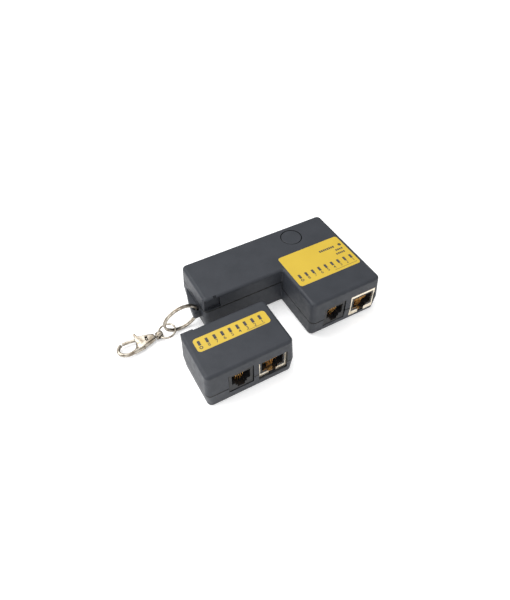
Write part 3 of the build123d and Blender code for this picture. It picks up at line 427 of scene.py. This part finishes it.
def plate(name, outlines, low, high, bevel=0.0):
    """A flat plate from closed outlines; inner outlines are holes."""
    curve = bpy.data.curves.new(name, "CURVE")
    curve.dimensions = "2D"
    curve.fill_mode = "BOTH"
    for points in outlines:
        spline = curve.splines.new("POLY")
        spline.points.add(len(points) - 1)
        for index, (x, y) in enumerate(points):
            spline.points[index].co = (x * MM, y * MM, 0, 1)
        spline.use_cyclic_u = True
    curve.extrude = ((high - low) / 2 - bevel) * MM
    curve.bevel_depth = bevel * MM
    curve.bevel_resolution = 2
    curve.offset = -bevel * MM
    holder = bpy.data.objects.new(name, curve)
    mesh = bpy.data.meshes.new_from_object(holder)
    bpy.data.objects.remove(holder)
    mesh.transform(Matrix.Translation((0, 0, (low + high) / 2 * MM)))
    return mesh


def rectangle(x0, x1, y0, y1, radius=0.0, steps=6):
    """Outline of a rectangle, its corners rounded if there is a radius."""
    if radius == 0:
        return [(x0, y0), (x1, y0), (x1, y1), (x0, y1)]
    middle = ((x0 + x1) / 2, (y0 + y1) / 2)
    section = rounded_section(x1 - x0, y1 - y0, radius, steps)
    return [(middle[0] + x, middle[1] + y) for x, y in section]


def circle(x, y, radius, steps=32):
    return [(x + radius * math.cos(a), y + radius * math.sin(a)) for a in full_turn(steps)]


def joined(name, meshes, smooth=False):
    """Several meshes as one, not welded."""
    shape = bmesh.new()
    for mesh in meshes:
        shape.from_mesh(mesh)
    return from_bmesh(name, shape, smooth)


# ---------------------------------------------------------------- labels

FILM_TOP = TOP - 0.03
FILM_BOTTOM = TOP - 0.15
INK_TOP = FILM_TOP + 0.012
INK_BOTTOM = FILM_TOP - 0.01
INK_HALF = 0.004


def numeral(text, x, y, size):
    """One printed numeral, centred on a point, standing up along +Y."""
    curve = bpy.data.curves.new("numeral", "FONT")
    curve.body = text
    curve.size = size * MM
    curve.align_x = "CENTER"
    curve.align_y = "CENTER"
    curve.extrude = INK_HALF * MM
    curve.offset = 0.02 * MM
    holder = bpy.data.objects.new("numeral", curve)
    mesh = bpy.data.meshes.new_from_object(holder)
    bpy.data.objects.remove(holder)
    mesh.transform(Matrix.Translation((x * MM, y * MM, (INK_TOP - INK_HALF) * MM)))
    return mesh


def printed(*outlines):
    return plate("mark", outlines, INK_BOTTOM, INK_TOP)


def stroke(x0, x1, y0, y1):
    return printed(rectangle(x0, x1, y0, y1))


def bracket(x0, x1, y, height):
    """A line under some of the numerals, its ends turned up."""
    line = stroke(x0, x1, y - 0.1, y + 0.1)
    return [line, stroke(x0, x0 + 0.2, y, y + height), stroke(x1 - 0.2, x1, y, y + height)]


def dashes(x0, x1, y, height, count):
    """A broken bar of equal blocks, in place of a caption."""
    pitch = (x1 - x0) / count
    return [stroke(x0 + pitch * i, x0 + pitch * (i + 0.74), y, y + height) for i in range(count)]


def window(x, y):
    """Outline of the hole over one lamp."""
    return rectangle(x - 0.5, x + 0.5, y - 1.25, y + 1.25, 0.2, 3)


def label(name, body, outline, lamps, holes, marks):
    """Film with the lamps' windows cut through it, and its print."""
    middle, y = lamps
    xs = [middle + LAMP_PITCH * (index - (LAMP_COUNT - 1) / 2) for index in range(LAMP_COUNT)]
    film_mesh = plate(name, [outline, *[window(x, y) for x in xs], *holes], FILM_BOTTOM, FILM_TOP, 0.02)
    keep(name + "_film", film_mesh, film, body, (name,))
    print_meshes = list(marks)
    for x, figure in zip(xs[1:], "87654321"):
        print_meshes.append(numeral(figure, x, y - 3.0, 2.9))
    print_meshes.append(printed(circle(xs[0], y - 2.9, 0.95), circle(xs[0], y - 2.9, 0.5)))
    for x in xs:
        outside = rectangle(x - 0.72, x + 0.72, y - 1.5, y + 1.5, 0.25, 3)
        print_meshes.append(printed(outside, window(x, y)))
    keep(name + "_print", joined(name + "_print", print_meshes), print_ink, body)


main_outline = rectangle(-19.9, 19.8, FRONT + 14.15, FRONT + 38.95, 1.65)
main_marks = [
    *bracket(ARM_LEFT + 73.2, ARM_LEFT + 87.4, FRONT + 15.9, 0.7),
    *dashes(ARM_LEFT + 73.0, ARM_LEFT + 83.2, FRONT + 31.3, 1.5, 8),
    *dashes(ARM_LEFT + 82.0, ARM_LEFT + 87.0, FRONT + 28.2, 1.3, 4),
    *dashes(ARM_LEFT + 80.6, ARM_LEFT + 86.6, FRONT + 25.4, 1.3, 5),
]
power_lamp_hole = circle(17.45, 1.95, 1.0, 24)
label("main_label", "tester", main_outline, MAIN_LAMPS, [power_lamp_hole], main_marks)

remote_outline = rectangle(
    REMOTE_LEFT + 3.45, REMOTE_LEFT + 43.65, REMOTE_FRONT + 14.95, REMOTE_FRONT + 23.55, 1.85
)
remote_marks = bracket(REMOTE_LEFT + 30.3, REMOTE_LEFT + 40.3, REMOTE_FRONT + 15.8, 0.5)
label("remote_label", "remote", remote_outline, REMOTE_LAMPS, [], remote_marks)


# ---------------------------------------------------------------- contact wires


def headings(points):
    """The direction of a path at each of its points."""
    befores = [points[0], *points[:-1]]
    afters = [*points[1:], points[-1]]
    return [(after - before).normalized() for before, after in zip(befores, afters)]


RIGHT = Vector((1, 0, 0))


def contact_wires(name, body, node, x, base, face, count, pitch, radius, tips):
    """Gilt wires that hang from the roof of a socket; tips gives each one's lowest point."""
    shapes = []
    for index in range(count):
        side = x + pitch * (index - (count - 1) / 2)
        tip = base + tips[min(index, count - 1 - index)]
        # how far in from the mouth, and how high
        bends = [
            (0.95, base + 12.9), (1.25, base + 12.4), (1.6, base + 10.6), (2.1, base + 8.4),
            (2.7, base + 6.6), (3.4, tip + 0.35), (4.1, tip),
        ]
        path = [Vector((side, face + inward, height)) for inward, height in bends]
        rings = []
        for place, ahead in zip(path, headings(path)):
            up = RIGHT.cross(ahead).normalized()
            rings.append([
                place + RIGHT * (radius * math.cos(a)) + up * radius * math.sin(a) for a in full_turn(10)
            ])
        shapes.append(from_bmesh("wire", tube(rings)))
    keep(name, joined(name, shapes, True), gilt, body, (node,))


# half widths of the lip's outside, its inside and the latch slot, then its heights and its thickness
LIP_OUTSIDE, LIP_INSIDE, LATCH_HALF = 7.0, 6.1, 3.15
LIP_FOOT, LIP_SILL, LIP_ROOF, LIP_TOP = 3.0, 4.5, 12.3, 13.0
LIP_THICK = 0.12


def insert_lip(name, body, x, base, face):
    """The black insert's raised lip round a network socket's mouth, open at the latch slot."""
    half = [
        (LIP_OUTSIDE, LIP_FOOT), (LATCH_HALF, LIP_FOOT), (LATCH_HALF, LIP_SILL),
        (LIP_INSIDE, LIP_SILL), (LIP_INSIDE, LIP_ROOF),
    ]
    mirrored = [(-aside, up) for aside, up in reversed(half)]
    arch = half + mirrored + [(-LIP_OUTSIDE, LIP_TOP), (LIP_OUTSIDE, LIP_TOP)]
    mesh = plate(name, [arch], 0.0, LIP_THICK)
    stood_up = Matrix(((1, 0, 0, x * MM), (0, 0, -1, face * MM), (0, 1, 0, base * MM), (0, 0, 0, 1)))
    mesh.transform(stood_up)
    keep(name, mesh, black, body)


# heights that the main unit's wires and lips are measured from, and how much higher the remote's are
NET_BASE, PHONE_BASE = 3.15, 3.75
REMOTE_RISE = 1.8
# how many wires, their pitch and their radius
NET_WIRES, PHONE_WIRES = (8, 1.02, 0.22), (4, 1.27, 0.25)
# lowest points of the wires above those heights, from the outer wires in
NET_TIPS, PHONE_TIPS = (4.9, 4.9, 1.3, 1.3), (3.9, 2.0)
# name, body, rise, then each socket's middle and the plane of its mouth
UNITS = (
    ("main", "tester", 0.0, (11.7, FRONT - 0.75), (-6.9, FRONT - 0.6)),
    ("remote", "remote", REMOTE_RISE, (REMOTE_LEFT + 35.7, REMOTE_FRONT + 0.2),
     (REMOTE_LEFT + 17.7, REMOTE_FRONT - 0.6)),
)
for unit, rider, lift, (net_x, net_face), (phone_x, phone_face) in UNITS:
    net_place = (net_x, NET_BASE + lift, net_face)
    phone_place = (phone_x, PHONE_BASE + lift, phone_face)
    net_node, phone_node = unit + "_rj45_contacts", unit + "_rj11_contacts"
    contact_wires(unit + "_net_wires", rider, net_node, *net_place, *NET_WIRES, NET_TIPS)
    insert_lip(unit + "_insert_lip", rider, *net_place)
    contact_wires(unit + "_phone_wires", rider, phone_node, *phone_place, *PHONE_WIRES, PHONE_TIPS)


# ---------------------------------------------------------------- key chain


RING_CENTRE = Vector((ARM_LEFT - 11.9, FRONT + 37.0, 10.9))
RING_RADIUS = 9.9
# the standing ring is turned a little about the upright and leans a little
turn, lean = math.radians(3.7), math.radians(9.4)
across = Vector((math.cos(turn), math.sin(turn), 0))
upward = Vector((math.sin(turn) * math.sin(lean), -math.cos(turn) * math.sin(lean), math.cos(lean)))
axial = across.cross(upward)


def split_ring():
    """Two turns of flattened wire side by side, with the step where one crosses to the other."""
    section = rounded_section(1.45, 0.84, 0.3)
    start, steps = math.radians(205), 240
    total = math.radians(720 - 16)
    rings = []
    for i in range(steps + 1):
        travelled = total * i / steps
        angle = start + travelled
        # the wire changes sides over about 24 degrees at its middle
        past_middle = (travelled - total / 2) / math.radians(24)
        side = 0.46 * math.tanh(2.2 * past_middle)
        out = across * math.cos(angle) + upward * math.sin(angle)
        taper = min(1.0, 0.55 + 0.45 * min(i, steps - i) / 5)
        rings.append([
            RING_CENTRE + out * (RING_RADIUS + x * taper) + axial * (side + y * taper) for x, y in section
        ])
    return from_bmesh("split_ring_coils", tube(rings))


keep("split_ring_coils", split_ring(), nickel, "ring", ("split_ring",))

LINK_RADIUS, LINK_WIRE = 4.7, 1.1
EYE_X = ARM_LEFT - 25.2
# the link climbs from the swivel's eye to the standing ring's wire
RING_WIRE_Z = 3.5
rise = RING_WIRE_Z - CHAIN_Z
run = math.sqrt(4 * LINK_RADIUS**2 - rise**2)
link_x = Vector((run, 0, rise)).normalized()
link_y = Vector((0, 1, 0))
link_up = link_x.cross(link_y)
link_middle = Vector((EYE_X + run / 2, CHAIN_Y, CHAIN_Z + rise / 2))


def link_ring():
    """Jump ring of round wire, bent shut with a hairline gap."""
    rings, steps = [], 96
    for i in range(steps + 1):
        angle = math.radians(70 + 358.2 * i / steps)
        out = link_x * math.cos(angle) + link_y * math.sin(angle)
        radius = LINK_WIRE / 2 * (0.94 if i in (0, steps) else 1.0)
        rings.append([
            link_middle + out * (LINK_RADIUS + radius * math.cos(a)) + link_up * radius * math.sin(a)
            for a in full_turn(16)
        ])
    return from_bmesh("link_ring_wire", tube(rings))


keep("link_ring_wire", link_ring(), nickel, "link", ("link_ring",))


def shaped(name, mesh, build_modifiers):
    """The mesh as it comes out of a stack of modifiers."""
    holder = bpy.data.objects.new(name, mesh)
    bpy.context.scene.collection.objects.link(holder)
    helpers = build_modifiers(holder)
    bpy.context.view_layer.update()
    finished = holder.evaluated_get(bpy.context.evaluated_depsgraph_get())
    made = bpy.data.meshes.new_from_object(finished)
    for thing in [holder, *helpers]:
        bpy.data.objects.remove(thing)
    made.name = name
    return made


def cast(name, meshes, voxel_mm, rounds):
    """Solids melted into one soft-edged casting."""

    def build(holder):
        remesh = holder.modifiers.new("melt", "REMESH")
        remesh.mode = "VOXEL"
        remesh.voxel_size = voxel_mm * MM
        relax = holder.modifiers.new("relax", "SMOOTH")
        relax.factor = 0.5
        relax.iterations = rounds
        return []

    return shaped(name, joined(name, meshes), build)


def carved(name, mesh, cutters):
    """The mesh with other closed meshes cut out of it."""

    def build(holder):
        helpers = []
        for cutter in cutters:
            helper = bpy.data.objects.new("cutter", cutter)
            bpy.context.scene.collection.objects.link(helper)
            cut = holder.modifiers.new("cut", "BOOLEAN")
            cut.operation = "DIFFERENCE"
            cut.solver = "EXACT"
            cut.object = helper
            helpers.append(helper)
        return helpers

    return shaped(name, mesh, build)


def block(x0, x1, y0, y1, z0, z1):
    """A box between two corners."""
    corners = [(x0, y0), (x1, y0), (x1, y1), (x0, y1)]
    return from_bmesh("block", tube([[(x, y, z) for x, y in corners] for z in (z0, z1)]))


def rod(start, end, radius):
    """A round bar between two points."""
    start, end = Vector(start), Vector(end)
    lie = (end - start).to_track_quat("Z", "Y")
    around = [lie @ Vector((radius * math.cos(a), radius * math.sin(a), 0)) for a in full_turn(32)]
    return from_bmesh("rod", tube([[place + p for p in around] for place in (start, end)]))


def lathe(name, profile, y, z):
    """A body of revolution about a line along X, from points (x, radius)."""
    rings = []
    for x, radius in profile:
        rings.append([(x, y + radius * math.cos(a), z + radius * math.sin(a)) for a in full_turn(56)])
    return from_bmesh(name, tube(rings))


def swept(name, path, section):
    """A section carried along a level path; section points are (sideways, up)."""
    path = [Vector(p) for p in path]
    up = Vector((0, 0, 1))
    rings = []
    for place, ahead in zip(path, headings(path)):
        side = ahead.cross(up).normalized()
        rings.append([place + side * a + up * b for a, b in section])
    return from_bmesh(name, tube(rings))


# the hook: its end at the swivel, its loop's middle, the gate's pivot, half heights of slot and gate
HOOK_TAIL = ARM_LEFT - 28.0
LOOP = (ARM_LEFT - 43.2, FRONT + 38.4)
PIVOT = (ARM_LEFT - 36.3, FRONT + 41.0)
SLOT_HALF = 1.3
GATE_HALF = 1.0

eye_end = EYE_X - 2.0
swivel_profile = [
    (EYE_X + 2.0, 1.5), (EYE_X + 1.95, 1.75), (EYE_X + 1.7, 2.05), (EYE_X + 1.35, 2.18),
    (EYE_X - 0.9, 2.18), (EYE_X - 1.15, 2.1), (EYE_X - 1.25, 1.85), (EYE_X - 1.4, 1.85),
    (EYE_X - 1.5, 2.05), (EYE_X - 1.8, 2.05), (eye_end, 1.85), (eye_end, 0.95), (eye_end - 0.1, 0.88),
    (HOOK_TAIL - 3.95, 0.88), (HOOK_TAIL - 4.0, 1.25), (HOOK_TAIL - 4.1, 1.33),
    (HOOK_TAIL - 4.6, 1.33), (HOOK_TAIL - 4.85, 1.0), (HOOK_TAIL - 4.9, 0.6),
]
turned_swivel = lathe("swivel", swivel_profile, CHAIN_Y, CHAIN_Z)
cross_hole = rod((EYE_X, CHAIN_Y - 4, CHAIN_Z), (EYE_X, CHAIN_Y + 4, CHAIN_Z), 1.15)
swivel = carved("swivel_turned", turned_swivel, [cross_hole])
keep("swivel_turned", swivel, nickel, "swivel", ("swivel_eye",))


def hook_casting():
    """A round wire loop that runs into a flat, tapering body with a bevelled top."""
    wire = [(0.98 * math.cos(a), 1.22 * math.sin(a)) for a in full_turn(20)]
    path = []
    for step in range(73):
        angle = math.radians(121 + 279 * step / 72)
        path.append((LOOP[0] + 5.35 * math.cos(angle), LOOP[1] + 4.2 * math.sin(angle), CHAIN_Z))
    loop = swept("loop", path, wire)
    # stations along the body: x, lower edge, upper edge, half height, corner radius
    stations = [
        (HOOK_TAIL, 6.85, 10.85, 1.62, 1.5), (HOOK_TAIL - 0.5, 6.72, 10.98, 1.68, 1.45),
        (HOOK_TAIL - 2.0, 6.25, 11.3, 1.68, 0.9), (HOOK_TAIL - 5.0, 5.45, 12.0, 1.66, 0.55),
        (HOOK_TAIL - 8.0, 4.85, 12.75, 1.6, 0.5), (PIVOT[0] - 1.2, 4.3, 13.05, 1.5, 0.5),
        (PIVOT[0] - 1.9, 4.15, 12.6, 1.4, 0.5),
    ]
    rings = []
    for x, low, high, half, radius in stations:
        section = rounded_section(high - low, 2 * half, radius, 5)
        rings.append([(x, (low + high) / 2 + a, CHAIN_Z + b) for a, b in section])
    body = from_bmesh("body", tube(rings))
    lower_limb = swept(
        "limb",
        [(PIVOT[0] + 1.5, 5.2, CHAIN_Z), (PIVOT[0] - 1.5, 4.75, CHAIN_Z), (LOOP[0] + 2.0, 4.35, CHAIN_Z)],
        [(1.05 * a, 1.25 * b) for a, b in wire],
    )
    solid = cast("hook_solid", [loop, body, lower_limb], 0.14, 3)
    return carved("hook_casting", solid, [
        block(PIVOT[0] - 4, PIVOT[0] + 2.5, PIVOT[1] - 2.5, PIVOT[1] + 4,
              CHAIN_Z - SLOT_HALF, CHAIN_Z + SLOT_HALF),
        rod((*PIVOT, 0), (*PIVOT, 5), 0.63),
        rod((HOOK_TAIL - 5, CHAIN_Y, CHAIN_Z), (HOOK_TAIL + 1, CHAIN_Y, CHAIN_Z), 0.97),
        block(HOOK_TAIL - 5.2, HOOK_TAIL - 3.8, CHAIN_Y - 1.7, CHAIN_Y + 1.7, 0, 5),
    ])


keep("hook_casting", hook_casting(), nickel, "hook", ("hook_body",))


def gate_casting():
    """A round hub with a thumb lever on one side and a tongue that closes the loop."""
    hub = rod((*PIVOT, CHAIN_Z - GATE_HALF), (*PIVOT, CHAIN_Z + GATE_HALF), 1.75)
    flat = [(0.78 * a, 0.9 * b) for a, b in rounded_section(2, 2, 0.7, 4)]
    tongue = swept("tongue", [
        (PIVOT[0] + 0.3, PIVOT[1] + 0.1, CHAIN_Z), (PIVOT[0] - 1.8, PIVOT[1] + 0.75, CHAIN_Z),
        (LOOP[0] + 3.2, LOOP[1] + 3.6, CHAIN_Z), (LOOP[0] + 1.0, LOOP[1] + 3.85, CHAIN_Z),
        (LOOP[0] - 1.0, LOOP[1] + 3.9, CHAIN_Z), (LOOP[0] - 2.25, LOOP[1] + 3.85, CHAIN_Z),
    ], flat)
    lever = swept("lever", [
        (PIVOT[0] + 0.4, PIVOT[1] + 0.6, CHAIN_Z), (PIVOT[0] - 0.2, PIVOT[1] + 2.0, CHAIN_Z),
        (PIVOT[0] - 0.9, PIVOT[1] + 3.5, CHAIN_Z + 0.05), (PIVOT[0] - 1.3, PIVOT[1] + 4.9, CHAIN_Z + 0.1),
    ], [(0.72 * a, 0.9 * b) for a, b in rounded_section(2, 2, 0.8, 4)])
    solid = cast("gate_solid", [hub, tongue, lever], 0.12, 2)
    pin_hole = rod((*PIVOT, 0), (*PIVOT, 5), 0.65)
    spring_room = rod((*PIVOT, CHAIN_Z - 0.62), (*PIVOT, CHAIN_Z + 0.62), 1.3)
    return carved("gate_casting", solid, [pin_hole, spring_room])


keep("gate_casting", gate_casting(), nickel, "gate", ("hook_gate",))


# ---------------------------------------------------------------- room, light and camera


def floor():
    """A plain pale sheet for the object to stand on."""
    shape = bmesh.new()
    bmesh.ops.create_grid(shape, x_segments=2, y_segments=2, size=3.0)
    mesh = from_bmesh("floor", shape)
    piece = bpy.data.objects.new("floor", mesh)
    piece.location = (0, 0, -FLOOR_DROP)
    bpy.context.scene.collection.objects.link(piece)
    m = Nodes("floor_paper")
    m.link(m.ramp(m.noise(40.0, 2.0), [(0.3, (0.86, 0.86, 0.86)), (0.7, (0.88, 0.88, 0.88))]),
           m.shader.inputs["Base Color"])
    m.constant(Roughness=0.9, Specular_IOR_Level=0.2, Emission_Strength=0.3)
    mesh.materials.append(m.material)


floor()


MIDDLE = Vector((-0.02, 0, 0))


def area(name, place, size, power):
    """A square soft light that looks at the object's middle."""
    light = bpy.data.lights.new(name, "AREA")
    light.shape = "SQUARE"
    light.size = size
    light.energy = power
    holder = bpy.data.objects.new(name, light)
    holder.location = place
    holder.rotation_euler = (MIDDLE - Vector(place)).to_track_quat("-Z", "Y").to_euler()
    bpy.context.scene.collection.objects.link(holder)


area("key", (-0.25, 0.35, 0.75), 0.6, 4.5)
area("side", (-0.75, 0.05, 0.35), 0.5, 3.5)
area("fill", (-0.2, -0.6, 0.45), 0.7, 1.5)

# the sky is grey at the horizon and white overhead
world = bpy.data.worlds.new("studio")
world.use_nodes = True
sky = world.node_tree.nodes
direction = sky.new("ShaderNodeTexCoord")
height = sky.new("ShaderNodeSeparateXYZ")
shade = sky.new("ShaderNodeValToRGB")
shade.color_ramp.elements[0].position = 0.05
shade.color_ramp.elements[0].color = (0.31, 0.31, 0.32, 1)
shade.color_ramp.elements[1].position = 0.75
shade.color_ramp.elements[1].color = (1, 1, 1, 1)
wire_up = world.node_tree.links.new
wire_up(direction.outputs["Generated"], height.inputs["Vector"])
wire_up(height.outputs["Z"], shade.inputs["Fac"])
wire_up(shade.outputs["Color"], sky["Background"].inputs["Color"])
sky["Background"].inputs["Strength"].default_value = 0.9
bpy.context.scene.world = world
bpy.context.scene.view_settings.view_transform = "Standard"

eye = bpy.data.cameras.new("camera")
eye.lens = 30.01
eye.sensor_width = 36.0
eye.clip_start = 0.01
camera = bpy.data.objects.new("camera", eye)
camera.location = (-0.12881, -0.16476, 0.21957)
camera.rotation_euler = Euler([math.radians(a) for a in (41.758, 0.342, -28.903)])
bpy.context.scene.collection.objects.link(camera)
bpy.context.scene.camera = camera

bpy.context.view_layer.update()
